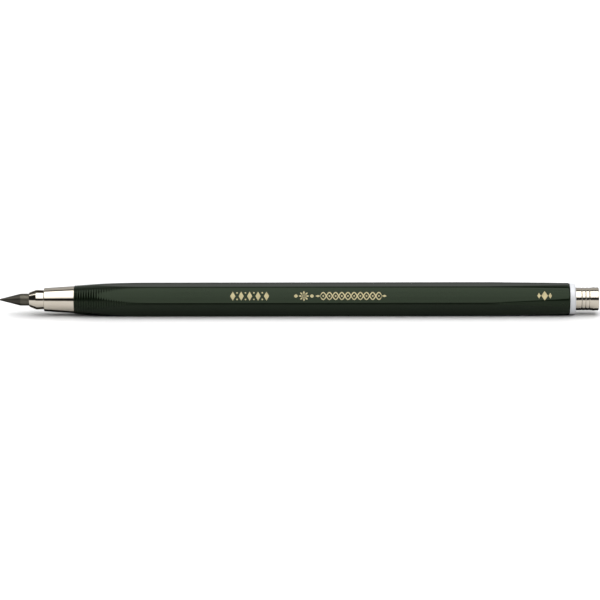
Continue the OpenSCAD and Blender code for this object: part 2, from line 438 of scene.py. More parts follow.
def handling_film() -> None:
    """Builds the uneven film that hands leave: soft cloudy noise with finer mottling in it."""
    nodes, given, result = open_group(Effect.HANDLING, {"Size": 120.0, "Amount": 1.0}, "Film")
    place = nodes.place()
    clouds = nodes.noise(place, given.outputs[0], 5.0, Roughness=0.62)
    mottle = nodes.noise(place, nodes.math("MULTIPLY", given.outputs[0], 14.0), 2.0)
    both = nodes.math("ADD", nodes.math("MULTIPLY", clouds, 0.75), nodes.math("MULTIPLY", mottle, 0.25))
    nodes.feed(result, 0, nodes.math("MULTIPLY", nodes.spread(both, 0.35, 0.68), given.outputs[1]))


def painted_edge_shade() -> None:
    """Builds painted shade on edges and groove floors: the piece's edge attribute, made uneven by noise."""
    nodes, given, result = open_group(Effect.EDGE_SHADE, {"Amount": 0.5, "Grain": 900.0}, "Mask")
    grain = nodes.noise(nodes.place(), given.outputs[1], 4.0, Roughness=0.7)
    uneven = nodes.math("MULTIPLY", nodes.edge(), nodes.spread(grain, 0.35, 0.65, 0.75, 1.0))
    nodes.feed(result, 0, nodes.math("MULTIPLY", uneven, given.outputs[0], clamp=True))


def build_effects() -> None:
    """Builds every shared node group once."""
    turning_marks()
    fine_scratches()
    handling_film()
    painted_edge_shade()


def grey(level: float) -> Colour:
    """Returns a neutral colour."""
    return (level, level, level, 1.0)


def start_material(name: str, **inputs: object) -> tuple[bpy.types.Material, Nodes, Node]:
    """Makes a material with a Principled BSDF.

    Args:
        name: The material's name.
        **inputs: The shader's own inputs by name, with _ for a space.

    Returns:
        The material, its nodes and its shader.
    """
    material = bpy.data.materials.new(name)
    material.use_nodes = True
    nodes = Nodes(material.node_tree)
    shader = nodes.add("BsdfPrincipled", {}, **inputs)
    nodes.feed(nodes.add("OutputMaterial"), "Surface", shader.outputs[0])
    return material, nodes, shader


@dataclass(frozen=True)
class Finish:
    """What every finish has: a name, a colour and a gloss.

    Attributes:
        name: The material's name.
        colour: Its colour, linear.
        roughness: Its roughness where it is clean.
        metallic: 1 for metal, 0 for anything else.
        ior: Refractive index of what isn't metal.
        sheen: Tint of what it mirrors when looked at squarely.
    """

    name: str
    colour: Colour
    roughness: float
    metallic: float = 0.0
    ior: float = 1.45
    sheen: Colour = (1.0, 1.0, 1.0, 1.0)

    def material(self) -> bpy.types.Material:
        """Makes the material, with its Principled BSDF and what the finish adds to it.

        Returns:
            The new material.
        """
        inputs = {"Metallic": self.metallic, "IOR": self.ior, "Specular_Tint": self.sheen}
        material, nodes, shader = start_material(self.name, **inputs)
        self.dress(nodes, shader)
        return material

    def shade(self, share: float) -> Colour:
        """Returns the finish's colour, darker or paler by a share."""
        return tuple(min(1.0, c * share) for c in self.colour[:3]) + (1.0,)

    def gloss(self, nodes: Nodes, film: Socket, clean: float, filmed: float) -> Socket:
        """Returns the roughness, as shares of the finish's own where it is clean and under the film."""
        return nodes.spread(film, 0.0, 1.0, self.roughness * clean, self.roughness * filmed)

    def effect(self, nodes: Nodes, effect: Effect, **values: float) -> Socket:
        """Places a shared effect with its own values and returns its output."""
        group = nodes.add("Group", {"node_tree": bpy.data.node_groups[effect.value]}, **values)
        return group.outputs[0]

    def bump(self, nodes: Nodes, shader: Node, height: Socket, depth: float) -> None:
        """Feeds a height to the shader's normal, depth being what a height of 1 is in millimetres."""
        bump = nodes.add("Bump", {}, Height=height, Distance=depth * MM, Strength=1.0)
        nodes.feed(shader, "Normal", bump.outputs[0])

    def dress(self, nodes: Nodes, shader: Node) -> None:
        """Adds the finish's own colour, roughness and relief to its shader."""
        raise NotImplementedError


@dataclass(frozen=True)
class Lacquer(Finish):
    """Polished coloured lacquer, with a little handling film and hairlines, and painted shade that darkens
    its edges and groove floors.

    Attributes:
        thin: The colour of the painted shade along edges and in groove floors: near black and metallic, so
            that they mirror less.
        shade_share: Share of the painted shade at a full edge.
        relief: Depth of the film and the hairlines in millimetres.
    """

    thin: Colour = (0.0025, 0.004, 0.0022, 1.0)
    shade_share: float = 0.65
    relief: float = 0.0006

    def dress(self, nodes: Nodes, shader: Node) -> None:
        """Adds film to the gloss, hairlines to the relief, and painted shade to edges and groove floors.

        Args:
            nodes: The material's nodes.
            shader: Its Principled BSDF.
        """
        film = self.effect(nodes, Effect.HANDLING, Size=140.0)
        hairs = self.effect(nodes, Effect.SCRATCHES, Density=0.6, Slant=0.06)
        # Painted shade: the mask turns edges and groove floors near black and metallic, so that they stay
        # dark under any light.
        painted_shade = self.effect(nodes, Effect.EDGE_SHADE, Amount=self.shade_share, Grain=700.0)
        body = nodes.mix(film, self.shade(0.8), self.colour)
        nodes.feed(shader, "Base Color", nodes.mix(painted_shade, body, self.thin))
        nodes.feed(shader, "Metallic", painted_shade)
        rough = self.gloss(nodes, film, 0.8, 1.25)
        nodes.feed(shader, "Roughness", nodes.math("ADD", rough, nodes.math("MULTIPLY", hairs, 0.15)))
        height = nodes.math("SUBTRACT", nodes.math("MULTIPLY", film, 0.4), hairs)
        self.bump(nodes, shader, height, self.relief)


@dataclass(frozen=True)
class Plate(Finish):
    """Turned and plated metal.

    Attributes:
        rings: Turning marks for each metre.
        relief: Depth of the turning marks in millimetres.
    """

    rings: float = 9000.0
    relief: float = 0.0004

    def dress(self, nodes: Nodes, shader: Node) -> None:
        """Adds turning marks, film and hairlines.

        Args:
            nodes: The material's nodes.
            shader: Its Principled BSDF.
        """
        film = self.effect(nodes, Effect.HANDLING, Size=210.0)
        hairs = self.effect(nodes, Effect.SCRATCHES, Density=0.5, Slant=0.3)
        rings = self.effect(nodes, Effect.TURNING, Rings_per_Metre=self.rings, Fading=0.6)
        nodes.feed(shader, "Base Color", nodes.mix(film, self.colour, self.shade(0.93)))
        rough = self.gloss(nodes, film, 0.8, 1.6)
        nodes.feed(shader, "Roughness", nodes.math("ADD", rough, nodes.math("MULTIPLY", hairs, 0.08)))
        height = nodes.math("SUBTRACT", rings, nodes.math("MULTIPLY", hairs, 0.5))
        self.bump(nodes, shader, height, self.relief)


@dataclass(frozen=True)
class Graphite(Finish):
    """Sharpened and handled graphite: grey with a soft sheen, streaked along its length.

    Attributes:
        relief: Depth of the streaks in millimetres.
    """

    relief: float = 0.006

    def dress(self, nodes: Nodes, shader: Node) -> None:
        """Adds streaks, grain and a burnished film, and darkens the freshly cut cone.

        Args:
            nodes: The material's nodes.
            shader: Its Principled BSDF.
        """
        place = nodes.place()
        stretched = nodes.add("Mapping", {}, Vector=place, Scale=(500.0, 3800.0, 3800.0))
        streaks = nodes.noise(stretched.outputs[0], 1.0, 4.0, Roughness=0.6)
        grain = nodes.noise(place, 9000.0, 3.0)
        film = self.effect(nodes, Effect.HANDLING, Size=420.0)
        body = nodes.mix(nodes.spread(streaks, 0.3, 0.7), self.shade(0.7), self.shade(1.5))
        cut = nodes.math("MULTIPLY", nodes.edge(), 0.85)
        nodes.feed(shader, "Base Color", nodes.mix(cut, body, self.shade(0.42)))
        nodes.feed(shader, "Roughness", self.gloss(nodes, film, 0.85, 1.2))
        height = nodes.math("ADD", streaks, nodes.math("MULTIPLY", grain, 0.6))
        self.bump(nodes, shader, height, self.relief)


@dataclass(frozen=True)
class Foil(Finish):
    """Hot-stamped gold foil: fine grain, a little thin in places.

    Attributes:
        relief: Depth of the grain in millimetres.
    """

    relief: float = 0.001

    def dress(self, nodes: Nodes, shader: Node) -> None:
        """Adds the foil's grain and its thin places.

        Args:
            nodes: The material's nodes.
            shader: Its Principled BSDF.
        """
        grain = nodes.noise(nodes.place(), 7000.0, 2.0)
        thin = self.effect(nodes, Effect.HANDLING, Size=900.0)
        amount = nodes.math("MULTIPLY", thin, 0.6)
        nodes.feed(shader, "Base Color", nodes.mix(amount, self.colour, self.shade(0.72)))
        nodes.feed(shader, "Roughness", self.gloss(nodes, thin, 0.8, 1.3))
        self.bump(nodes, shader, grain, self.relief)


class Look(Enum):
    """The finishes that the holder's pieces have."""

    LACQUER = Lacquer(
        "green_lacquer", (0.0042, 0.0071, 0.0035, 1.0), 0.06, ior=1.274, sheen=(0.78, 1.0, 0.7, 1.0)
    )
    NICKEL = Plate("nickel_plate", (0.51, 0.466, 0.396, 1.0), 0.06, metallic=1.0)
    COLLET = Plate("collet_plate", (0.51, 0.466, 0.396, 1.0), 0.07, metallic=1.0, rings=14000.0)
    STEEL = Plate("drawn_steel", (0.56, 0.56, 0.57, 1.0), 0.24, metallic=1.0, rings=5000.0)
    SPRING = Plate("spring_wire", (0.48, 0.48, 0.50, 1.0), 0.18, metallic=1.0, rings=20000.0)
    SATIN = Plate(
        "satin_silver", (0.575, 0.585, 0.605, 1.0), 0.5, metallic=0.3, rings=16000.0, relief=0.0012
    )
    GRAPHITE = Graphite("graphite_lead", (0.07, 0.064, 0.049, 1.0), 0.34, metallic=0.7)
    FOIL = Foil("gold_foil", (0.34, 0.295, 0.17, 1.0), 0.42, metallic=0.8)


class Finishes:
    """Makes each look's material once."""

    def __init__(self) -> None:
        """Starts with no materials."""
        self.made: dict[Look, bpy.types.Material] = {}

    def apply(self, piece: Piece, look: Look) -> None:
        """Gives a piece its material.

        Args:
            piece: The piece.
            look: Its look.
        """
        if look not in self.made:
            self.made[look] = look.value.material()
        piece.data.materials.clear()
        piece.data.materials.append(self.made[look])


# ---------------------------------------------------------------- sub-assemblies


class Assembly:
    """A group of pieces that are built and dressed together."""

    def __init__(self, finishes: Finishes) -> None:
        """Keeps the materials' maker."""
        self.finishes = finishes

    def make(self) -> None:
        """Builds and dresses every piece of the group."""
        raise NotImplementedError

    def fit(self, piece: Piece, body: str, look: Look, slot: str | None, *nodes: str) -> None:
        """Dresses a finished piece, lets it ride on its body and hides the nodes that it stands for.

        Args:
            piece: The piece, in place.
            body: The body that it moves with.
            look: Its finish.
            slot: The record's material slot, if it has one. Not used.
            *nodes: The nodes that it stands for.
        """
        self.finishes.apply(piece, look)
        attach(piece, body)
        if nodes:
            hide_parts(*nodes)
        log.info("%s rides on %s with %d faces", piece.name, body, len(piece.data.polygons))


@dataclass
class BarrelForm:
    """The barrel's sizes in millimetres.

    Attributes:
        corner: Radius of the hexagon's rounded edges.
        crown: How far each flat falls away towards its edges, from polishing.
        grip_run: Length of the turned front.
        front_r: Radius at the front face.
        over: How far the turning reaches past the hexagon's edges.
        tail_run: Length of the turned rear.
        tail_r: Radius at the rear before its edge is rounded.
        tail_round: Radius of the rear edge.
        grooves: Number of grip grooves.
        pitch: Distance from one groove to the next.
        groove_w: Width of a groove.
        groove_depth: Depth of a groove.
        first_groove: Station of the first groove.
        crease: Radius by which turned and flat surfaces blend.
        front_edge: Size of the broken edge at the front face.
        collar_gap: Room between the front bore and the spring's collar.
        tube_gap: Room between the main bore and the lead tube.
        rear_bore: Radius of the bore that takes the end ring's spigot.
        travel: Length of bore beyond the collar and the button, for their stroke.
        edge_shade_in: How far in from the hexagon's tips the painted edge shade starts.
        edge_shade_fade: Over what radius it grows to its full share.
        floor_shade: How much painted shade the middle of a groove's floor gets.
        floor_fade: Radius by which a face may miss the turning and still count as a groove's floor.
    """

    corner: float = 0.6
    crown: float = 0.05
    grip_run: float = 24.0
    front_r: float = 3.69
    over: float = 0.08
    tail_run: float = 28.6
    tail_r: float = 4.15
    tail_round: float = 0.45
    grooves: int = 31
    pitch: float = 0.66
    groove_w: float = 0.44
    groove_depth: float = 0.14
    first_groove: float = 0.3
    crease: float = 0.02
    front_edge: float = 0.1
    collar_gap: float = 0.12
    tube_gap: float = 0.2
    rear_bore: float = 3.62
    travel: float = 5.0
    edge_shade_in: float = 0.07
    edge_shade_fade: float = 0.044
    floor_shade: float = 0.7
    floor_fade: float = 0.05


class Barrel(Assembly):
    """The hexagonal barrel, turned at both ends and bored in three steps."""

    form = BarrelForm()
    sixth = math.pi / 3

    def __init__(self, finishes: Finishes) -> None:
        """Takes the hexagon's width and the barrel's length from the frame.

        Args:
            finishes: Where materials come from.
        """
        super().__init__(finishes)
        self.flat: float = AXIS.radius("barrel")
        self.length: float = AXIS.span("barrel")[1]
        self.centre: float = (self.flat - self.form.corner) / math.cos(self.sixth / 2)
        self.over_r: float = self.centre + self.form.corner + self.form.over
        self.flat_end: float = math.atan2(self.centre / 2, self.flat)

    def hexagon(self, a: Array) -> Array:
        """Radius of the rounded hexagon at each angle.

        Within each sixth, b is the angle from the middle of a flat. The flat's radius is flat / cos b, less
        a crown that grows with the square of tan b. Past the end of the flat it is the far side of the
        corner's circle, whose centre lies at 30 degrees, less the whole crown.

        Args:
            a: Angles in radians, 90 degrees being the upper flat.

        Returns:
            Radii in millimetres.
        """
        b = np.abs((a - math.pi / 2 + self.sixth / 2) % self.sixth - self.sixth / 2)
        c = self.sixth / 2 - b
        reach = self.form.corner**2 - (self.centre * np.sin(c)) ** 2
        corner = self.centre * np.cos(c) + np.sqrt(np.maximum(reach, 0))
        crowned = self.flat / np.cos(b) - self.form.crown * (np.tan(b) / math.tan(self.flat_end)) ** 2
        return np.where(b <= self.flat_end, crowned, corner - self.form.crown)

    def grooved(self, s: Array) -> Array:
        """Share of a groove's full depth at each station: a raised cosine across its width, 0 between.

        Args:
            s: Stations in millimetres.

        Returns:
            Shares from 0 to 1.
        """
        f = self.form
        place = (s - f.first_groove) % f.pitch
        inside = (s > f.first_groove) & (s < f.first_groove + f.grooves * f.pitch) & (place < f.groove_w)
        return np.where(inside, (1 - np.cos(FULL_TURN * place / f.groove_w)) / 2, 0)

    def turned(self, s: Array) -> Array:
        """Radius of the turned blank at each station.

        The front swells as a parabola from its face to just past the hexagon's edges, less the grooves. The
        rear is a cone that narrows to the end, and its edge is a quarter circle.

        Args:
            s: Stations in millimetres.

        Returns:
            Radii in millimetres.
        """
        f = self.form
        swell = self.over_r - (self.over_r - f.front_r) * np.clip(1 - s / f.grip_run, 0, 1) ** 2
        swell = swell - np.maximum(f.front_edge - s, 0)
        share = np.clip((s - self.length + f.tail_run) / f.tail_run, 0, 1)
        tail = self.over_r - (self.over_r - f.tail_r) * share
        depth = np.clip(s - (self.length - f.tail_round), 0, f.tail_round)
        tail = tail - (f.tail_round - np.sqrt(np.maximum(f.tail_round**2 - depth**2, 0)))
        return np.minimum(swell - f.groove_depth * self.grooved(s), tail)

    def skin(self, s: Array, a: Array) -> Array:
        """Blends hexagon x and turning y: (x + y - sqrt((x - y) squared + crease squared)) / 2."""
        x, y = self.hexagon(a), self.turned(s)
        return (x + y - np.sqrt((x - y) ** 2 + self.form.crease**2)) / 2

    def stations(self) -> Array:
        """Stations of the skin's rows: close in the grooves and towards the rear, few between.

        Returns:
            Stations in millimetres, in order.
        """
        f = self.form
        within = np.array([0, 0.16, 0.33, 0.5, 0.67, 0.84, 1.0]) * f.groove_w
        grooves = (f.first_groove + np.arange(f.grooves)[:, None] * f.pitch + within[None]).ravel()
        front = np.array([0.0, 0.05, f.front_edge, 0.2])
        run_out = np.linspace(grooves[-1] + 0.3, f.grip_run, 12)
        middle = np.linspace(f.grip_run + 2, self.length - f.tail_run - 1, 8)
        tail = np.linspace(self.length - f.tail_run, self.length - f.tail_round - 0.02, 104)
        edge = self.length - f.tail_round + f.tail_round * np.sin(np.linspace(0, math.pi / 2, 9))
        return np.concatenate([front, grooves, run_out, middle, tail, edge])

    def angles(self) -> Array:
        """Angles of the skin's columns: close over the rounded edges, wider over the flats.

        Returns:
            Angles in radians, in order.
        """
        over_flat = np.linspace(-self.flat_end, self.flat_end, 29)
        over_edge = np.linspace(self.flat_end, self.sixth - self.flat_end, 14)[1:-1]
        once = np.concatenate([over_flat, over_edge])
        return (math.pi / 2 + np.arange(6)[:, None] * math.pi / 3 + once[None]).ravel()

    def bore(self) -> Array:
        """Profile of the inside, from the front face to the rear one.

        Returns:
            Rows of station and radius.
        """
        f = self.form
        front_r = AXIS.radius("spring_collar") + f.collar_gap
        main_r = AXIS.radius("lead_tube") + f.tube_gap
        collar_room = AXIS.span("spring_collar")[1] + f.travel
        rear = AXIS.span("push_button")[0] - f.travel
        front_part = [[0.0, front_r], [0.5, front_r], [collar_room, front_r]]
        main_part = [[collar_room + front_r - main_r, main_r], [rear - 0.05, main_r], [rear, main_r]]
        rear_part = [[s, f.rear_bore] for s in (rear, rear + 0.05, self.length - 0.2, self.length)]
        return np.array(front_part + main_part + rear_part)

    def make(self) -> None:
        """Builds and dresses the barrel's shell: the skin, the bores and the two end faces."""
        f = self.form
        s, a = self.stations()[:, None], self.angles()[None, :]
        outside = AXIS.place(s, self.skin(s, a), a)
        bore = self.bore()
        inside = AXIS.place(bore[:, :1], bore[:, 1:], a)
        shell = np.concatenate([outside, inside[::-1]])
        piece = build("barrel_body", [Grid(shell, wrap_rows=True)], sharp=50)
        # The edge attribute marks where the lacquer paints shade: the hexagon's edges and the groove floors.
        place = coordinates(piece)
        across = np.hypot(place[:, 1], place[:, 2] - AXIS.height) / MM
        tip_r = self.centre + f.corner - f.crown
        s = (place[:, 0] - AXIS.front_x) / MM
        edges = (across - tip_r + f.edge_shade_in) / f.edge_shade_fade
        on_floor = np.clip(1 - (self.turned(s) - across) / f.floor_fade, 0, 1)
        mark(piece, np.maximum(edges, f.floor_shade * self.grooved(s) * on_floor))
        self.fit(piece, "barrel", Look.LACQUER, "barrel_green", "barrel")


@dataclass
class Stamp:
    """A place on the barrel's upper front face where gold foil is stamped, in millimetres.

    Attributes:
        name: The piece's name.
        start: Station where it starts.
        end: Station where it ends.
        tall: Its height across the face.
    """

    name: str
    start: float
    end: float
    tall: float

    @property
    def middle(self) -> float:
        """Returns the station of its middle."""
        return (self.start + self.end) / 2

    @property
    def long(self) -> float:
        """Returns its length."""
        return self.end - self.start


@dataclass
class FoilForm:
    """How the foil lies on the face. Lengths are millimetres.

    Attributes:
        lift: How far it stands proud.
        layer: Share of the lift that each ribbon on top of another adds.
        sunk: How far it reaches into the face.
        turn: The face's angle about the axis.
        lower: How far the ornaments' middle lies off the face's own.
        path: Points along a leaf or a dot.
        circle: Points round a ring.
    """

    lift: float = 0.012
    layer: float = 0.3
    sunk: float = 0.006
    turn: float = math.radians(30)
    lower: float = -0.19
    path: int = 17
    circle: int = 48


class Ornaments(Assembly):
    """Stamped foil: lozenges, a rosette, a braid and a small mark, each a set of flat ribbons."""

    form = FoilForm()

    def __init__(self, finishes: Finishes, barrel: Barrel) -> None:
        """Takes the face's crown and half width from the barrel.

        Args:
            finishes: Where materials come from.
            barrel: The barrel that carries the ornaments.
        """
        super().__init__(finishes)
        self.crown: float = barrel.form.crown
        self.face_half: float = barrel.centre / 2

    def ribbon(self, s: Array, v: Array, half: Array, layer: int = 0, closed: bool = False) -> Grid:
        """Lays a flat ribbon on the face along a path.

        The path runs through (s, v), v being the distance across the face. Its sides lie half a width to
        either side, at right angles to the path's own direction. The cross-section is a thin rectangle, with
        one more point in the middle of its top, and all of it follows the face's crown.

        Args:
            s: Stations of the path in millimetres.
            v: Distances across the face.
            half: Half widths, 0 where the ribbon ends in a point.
            layer: Number of ribbons under this one.
            closed: Whether the path joins its own start.

        Returns:
            The ribbon's surface.
        """
        if closed:
            ds, dv = np.roll(s, -1) - np.roll(s, 1), np.roll(v, -1) - np.roll(v, 1)
        else:
            ds, dv = np.gradient(s), np.gradient(v)
        size = np.hypot(ds, dv)
        across = np.stack([-dv / size, ds / size], axis=1) * half[:, None]
        path = np.stack([s, v], axis=1)
        f = self.form
        one, other = path + across, path - across
        rows = np.stack([one, path, other, other, one], axis=1)
        top = f.lift * (1 + f.layer * layer)
        high = np.array([top, top, top, -f.sunk, -f.sunk])
        along, over = rows[..., 0], rows[..., 1] + f.lower
        out = AXIS.radius("barrel") - self.crown * (over / self.face_half) ** 2 + high
        y = -out * math.cos(f.turn) + over * math.sin(f.turn)
        z = out * math.sin(f.turn) + over * math.cos(f.turn)
        points = np.stack([AXIS.front_x + along * MM, y * MM, AXIS.height + z * MM], axis=-1)
        return Grid(points, wrap_rows=closed)

    def lens(
        self, s: float, v: float, length: float, width: float, turn: float = 0.0, power: float = 2.0
    ) -> Grid:
        """A pointed leaf or a dot: a straight path whose half width is width / 2 (1 - |t| ** power).

        Args:
            s: Station of its middle.
            v: Where its middle lies across the face.
            length: Its length.
            width: Its greatest width.
            turn: Its turn on the face in radians.
            power: 1 gives a lozenge, 2 a leaf.

        Returns:
            Its surface.
        """
        t = -np.cos(np.linspace(0, math.pi, self.form.path))
        half = width / 2 * (1 - np.abs(t) ** power)
        along = t * length / 2
        return self.ribbon(s + along * math.cos(turn), v + along * math.sin(turn), half)

    def dot(self, s: float, v: float, radius: float) -> Grid:
        """A round dot: a straight path, half as wide as a circle is at each distance from its middle."""
        t = -np.cos(np.linspace(0, math.pi, self.form.path))
        return self.ribbon(s + t * radius, np.full(len(t), v), radius * np.sqrt(np.maximum(1 - t**2, 0)))

    def ring(self, s: float, v: float, radius: float, width: float) -> Grid:
        """A ring: a path that goes once round a circle.

        Args:
            s: Station of its middle.
            v: Where its middle lies across the face.
            radius: Radius of the path.
            width: Width of the ribbon.

        Returns:
            Its surface.
        """
        t = np.linspace(0, FULL_TURN, self.form.circle, endpoint=False)
        half = np.full(len(t), width / 2)
        return self.ribbon(s + radius * np.cos(t), v + radius * np.sin(t), half, closed=True)

    def lozenges(self, stamp: Stamp) -> list[Grid]:
        """A row of five lozenges with pairs of dots between them.

        Args:
            stamp: Where it goes.

        Returns:
            Its ribbons.
        """
        count = 5
        pitch = stamp.long / count
        places = stamp.start + pitch * (np.arange(count) + 0.5)
        grids = [self.lens(s, 0, pitch * 0.62, stamp.tall * 0.82, power=1.0) for s in places]
        for s in places[:-1] + pitch / 2:
            grids += [self.dot(s, v * stamp.tall * 0.3, 0.2) for v in (-1, 1)]
        return grids

    def rosette(self, stamp: Stamp) -> list[Grid]:
        """Eight leaves round a ring, with a smaller leaf beside it on either side.

        Args:
            stamp: Where it goes.

        Returns:
            Its ribbons.
        """
        reach = stamp.tall / 2
        middle, out = stamp.middle, reach * 0.68
        grids: list[Grid] = []
        for t in np.arange(8) * math.pi / 4:
            grids.append(self.lens(middle + out * math.cos(t), out * math.sin(t), reach * 0.62, 0.42, t))
        grids.append(self.ring(middle, 0, reach * 0.24, 0.16))
        for side in (-1, 1):
            grids.append(self.lens(middle + side * stamp.long * 0.4, 0, stamp.long * 0.2, 0.9))
        return grids

    def braid(self, stamp: Stamp) -> list[Grid]:
        """Two sine ribbons half a wave apart, with a dot in every eye and a leaf at either end.

        Args:
            stamp: Where it goes.

        Returns:
            Its ribbons.
        """
        waves = 5
        s = np.linspace(stamp.start + 1.1, stamp.end - 1.1, 40 * waves + 1)
        phase = (s - s[0]) / (s[-1] - s[0]) * waves * math.pi * 2
        high = stamp.tall * 0.36
        width = 0.12 * np.clip(np.minimum(s - s[0], s[-1] - s) / 0.5, 0, 1) + 0.02
        waves_over = high * np.sin(phase)
        grids = [self.ribbon(s, -waves_over, width), self.ribbon(s, waves_over, width, layer=1)]
        eye = (s[-1] - s[0]) / waves / 2
        grids += [self.dot(s[0] + eye * (k + 0.5), 0, 0.22) for k in range(2 * waves)]
        grids += [self.lens(end, 0, 1.3, 0.6, power=1.0) for end in (stamp.start + 0.5, stamp.end - 0.5)]
        return grids

    def small_mark(self, stamp: Stamp) -> list[Grid]:
        """One tall lozenge between two small ones.

        Args:
            stamp: Where it goes.

        Returns:
            Its ribbons.
        """
        places = (stamp.start + 0.45, stamp.middle, stamp.end - 0.45)
        sizes = ((0.9, 0.55), (1.7, 0.9), (0.9, 0.55))
        shapes = zip(places, sizes)
        return [self.lens(s, 0, length, stamp.tall * tall, power=1.0) for s, (length, tall) in shapes]

    def make(self) -> None:
        """Builds and dresses every ornament."""
        plans: list[tuple[Stamp, Callable[[Stamp], list[Grid]]]] = [
            (Stamp("foil_lozenges", 40.1, 51.0, 2.9), self.lozenges),
            (Stamp("foil_rosette", 57.0, 62.2, 2.7), self.rosette),
            (Stamp("foil_braid", 62.7, 80.9, 2.6), self.braid),
            (Stamp("foil_mark", 120.0, 123.8, 2.8), self.small_mark),
        ]
        for stamp, draw in plans:
            self.fit(build(stamp.name, draw(stamp)), "barrel", Look.FOIL, None)


@dataclass
class NoseForm:
    """The nose's sizes in millimetres.

    Attributes:
        wall: Wall at the mouth.
        edge: Radius of the front edge.
        shoulder: Step from the spigot out to the nose.
        spigot_wall: Wall of the spigot.
        seat_slope: Radius lost for each millimetre along the closing cone.
        seat_len: Length of the closing cone.
        seat_r: Radius at the closing cone's small end.
        pitch: Pitch of the thread on the spigot.
        thread: Depth of the thread.
        thread_rows: Rows of points along the thread.
    """

    wall: float = 0.47
    edge: float = 0.35
    shoulder: float = 0.48
    spigot_wall: float = 0.45
    seat_slope: float = 0.12
    seat_len: float = 2.5
    seat_r: float = 2.25
    pitch: float = 0.75
    thread: float = 0.24
    thread_rows: int = 90


class Nose(Assembly):
    """The plated nose that screws into the barrel and closes the jaws."""

    form = NoseForm()

    def __init__(self, finishes: Finishes) -> None:
        """Takes the nose's length and rear radius from the frame.

        Args:
            finishes: Where materials come from.
        """
        super().__init__(finishes)
        self.front, self.rear = AXIS.span("nose_ferrule")
        self.rear_r = AXIS.radius("nose_ferrule")
        self.spigot_r = self.rear_r - self.form.shoulder
        self.seat_end: float = self.front + self.form.seat_len
        self.mouth_r = self.form.seat_r + self.form.seat_slope * self.form.seat_len

    def threaded(self, s: Array, a: Array) -> Array:
        """Depth of the thread: a rounded wave of the station less the turn's share of the pitch.

        The wave is 0.62 (1 - cos), held at 1 so that the crests are flat, and fades in and out at the ends.

        Args:
            s: Stations in millimetres.
            a: Angles in radians.

        Returns:
            Depths in millimetres.
        """
        f = self.form
        turns = s / f.pitch - a / FULL_TURN
        wave = np.clip(0.62 - 0.62 * np.cos(FULL_TURN * turns), 0, 1)
        run = np.clip(np.minimum(s - 0.7, self.rear - 0.5 - s) / f.pitch, 0, 1)
        return f.thread * (1 - wave) * run

    def make(self) -> None:
        """Builds and dresses the nose: a turned outline, whose spigot carries the thread."""
        f = self.form
        relief = self.spigot_r - f.spigot_wall
        corners = [
            Corner(self.front, self.mouth_r, 0.04),
            Corner(self.front, self.mouth_r + f.wall, f.edge),
            Corner(-0.09, self.rear_r, 0.04),
            Corner(0.0, self.rear_r - 0.1, 0.0),
            Corner(0.0, self.spigot_r, 0.0),
            Corner(self.rear - 0.3, self.spigot_r, 0.0),
            Corner(self.rear, self.spigot_r - 0.2, 0.0),
            Corner(self.rear, relief, 0.05),
            Corner(self.seat_end + 1, relief, 0.1),
            Corner(self.seat_end, f.seat_r, 0.08),
        ]
        profile = outline(corners, steps=8)
        on_spigot = np.flatnonzero((profile[:, 1] > self.spigot_r - 1e-6) & (profile[:, 0] > 0.02))
        first, last = on_spigot[0], on_spigot[-1]
        rows = np.linspace(profile[first, 0], profile[last, 0], f.thread_rows)
        stretch = np.column_stack([rows, np.full(len(rows), self.spigot_r)])
        profile = np.concatenate([profile[:first], stretch, profile[last + 1 :]])
        a = np.linspace(0, FULL_TURN, 144, endpoint=False)[None, :]
        s, r = profile[:, :1], profile[:, 1:]
        cut = np.where((r > self.spigot_r - 1e-6) & (s > 0.02), self.threaded(s, a), 0)
        piece = build("nose_turned", [Grid(AXIS.place(s, r - cut, a), wrap_rows=True)])
        self.fit(piece, "barrel", Look.NICKEL, "nickel", "nose_ferrule")


@dataclass
class JawForm:
    """The collet's sizes in millimetres.

    Attributes:
        tip_wall: Wall at the front face.
        head_wall: Wall at the widest place.
        shank_wall: Wall of the springy shanks.
        front_cone: Length of the cone at the front.
        slot: Width of the saw cuts.
        deburr: Size of the broken edges along the saw cuts.
        teeth: Number of gripping teeth.
        tooth_pitch: Distance from tooth to tooth.
        tooth_depth: Depth of the teeth.
        first_turn: Angle of the first jaw's middle in degrees.
        lead_gap: Room between the closed jaws and the lead.
        shank_gap: Room between the shanks and the lead.
        seat_gap: Room between the jaws and the nose's closing cone.
        tube_gap: Room between the shanks and the lead tube round them.
        collar_gap: Room between the tube and the spring's collar round it.
        front_edge: Radius of the front edge.
        arc: Points along a jaw's arcs.
    """

    tip_wall: float = 0.28
    head_wall: float = 1.01
    shank_wall: float = 0.39
    front_cone: float = 1.9
    slot: float = 0.85
    deburr: float = 0.05
    teeth: int = 10
    tooth_pitch: float = 0.6
    tooth_depth: float = 0.12
    first_turn: float = 11.5
    lead_gap: float = 0.015
    shank_gap: float = 0.08
    seat_gap: float = 0.05
    tube_gap: float = 0.02
    collar_gap: float = 0.01
    front_edge: float = 0.09
    arc: int = 41


@dataclass
class SpringForm:
    """The spring's sizes in millimetres.

    Attributes:
        wire: The wire's thickness.
        turns: Number of turns.
        length: Its length in the closed holder.
        tube_gap: Room between the spring and the tube.
        end_gap: Room at either end.
        end_pitch: Pitch of the two end turns, in wires.
        turn_steps: Rings of points in a turn.
        wire_steps: Points round the wire.
        pressed: Share of its length that is left when the clutch is pushed.
    """

    wire: float = 0.44
    turns: int = 12
    length: float = 16.0
    tube_gap: float = 0.12
    end_gap: float = 0.01
    end_pitch: float = 1.05
    turn_steps: int = 40
    wire_steps: int = 16
    pressed: float = 0.75


